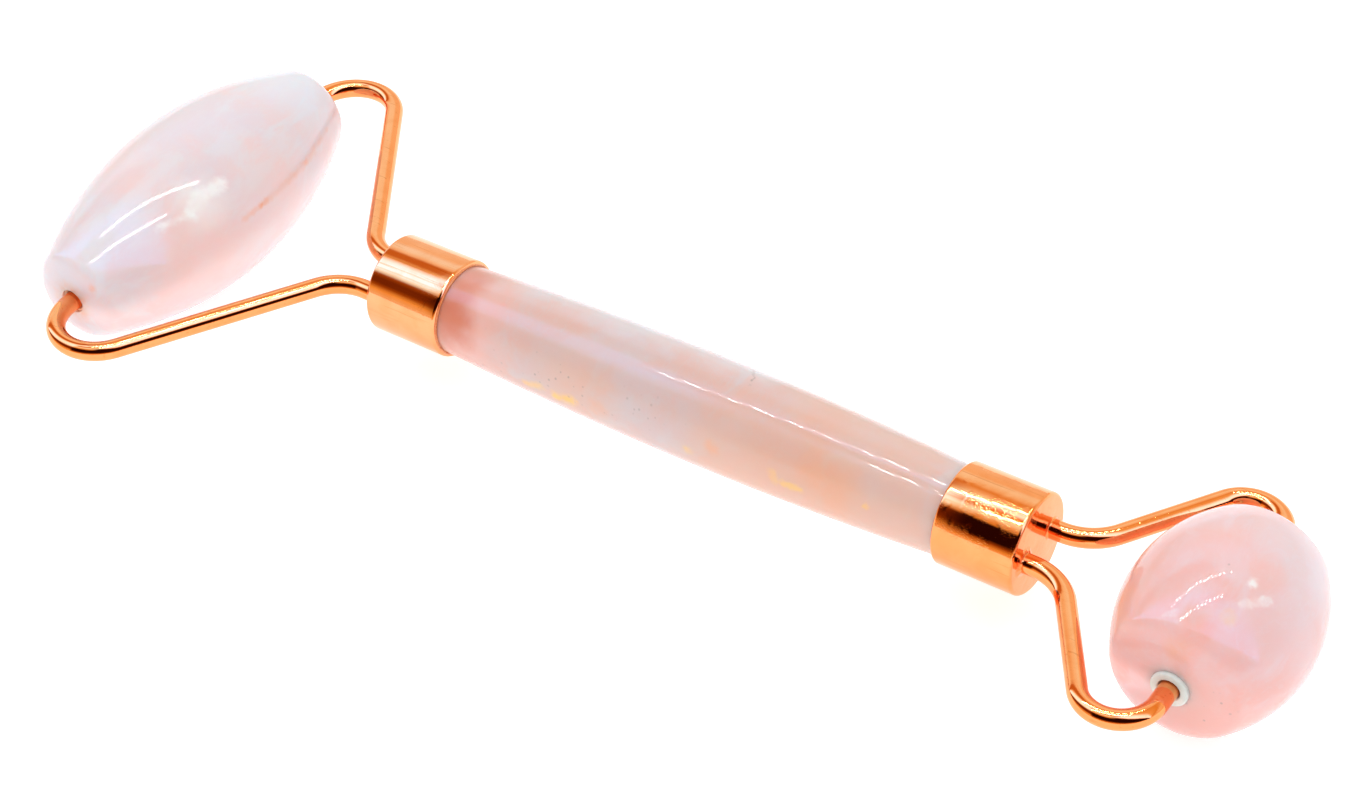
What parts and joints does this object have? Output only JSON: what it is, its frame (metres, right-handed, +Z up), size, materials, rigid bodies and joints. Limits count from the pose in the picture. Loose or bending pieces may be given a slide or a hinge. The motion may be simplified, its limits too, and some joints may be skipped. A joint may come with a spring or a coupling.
{
  "type": "double-ended stone face roller",
  "caption": "Barrelled stone grip with a free-turning stone roller in a bent wire yoke at each end: a long barrel and a short one.",
  "frame": {"origin": "bottom centre of the whole object as it lies on its two stones, on the surface under it", "axes": "+X along the grip from the large roller to the small roller, +Y along the rollers' axes, +Z up"},
  "size_m": [0.1448, 0.0544, 0.0196],
  "materials": {
    "rose_quartz": "polished, cloudy pale pink quartz with white veils and small iron stains",
    "rose_gold_plating": "mirror-bright rose gold plating",
    "rose_gold_wire": "mirror-bright rose gold plating on wire",
    "white_nylon": "plain white nylon",
    "cured_adhesive": "cured, milky adhesive"
  },
  "bodies": {
    "handle": {"handle_stone": "rose_quartz", "large_end_ferrule": "rose_gold_plating", "small_end_ferrule": "rose_gold_plating", "large_end_adhesive": "cured_adhesive", "small_end_adhesive": "cured_adhesive", "large_yoke_left_arm": "rose_gold_wire", "large_yoke_right_arm": "rose_gold_wire", "small_yoke_left_arm": "rose_gold_wire", "small_yoke_right_arm": "rose_gold_wire"},
    "large_roller": {"large_roller_stone": "rose_quartz", "large_roller_left_bush": "white_nylon", "large_roller_right_bush": "white_nylon"},
    "small_roller": {"small_roller_stone": "rose_quartz", "small_roller_left_bush": "white_nylon", "small_roller_right_bush": "white_nylon"}
  },
  "joints": [
    {"name": "large_roller_spin", "type": "hinge", "parent": "handle", "child": "large_roller", "pos_m": [-0.06265, 0, 0.0098], "axis": [0, 1, 0], "continuous": true},
    {"name": "small_roller_spin", "type": "hinge", "parent": "handle", "child": "small_roller", "pos_m": [0.06285, 0, 0.0098], "axis": [0, 1, 0], "continuous": true}
  ]
}
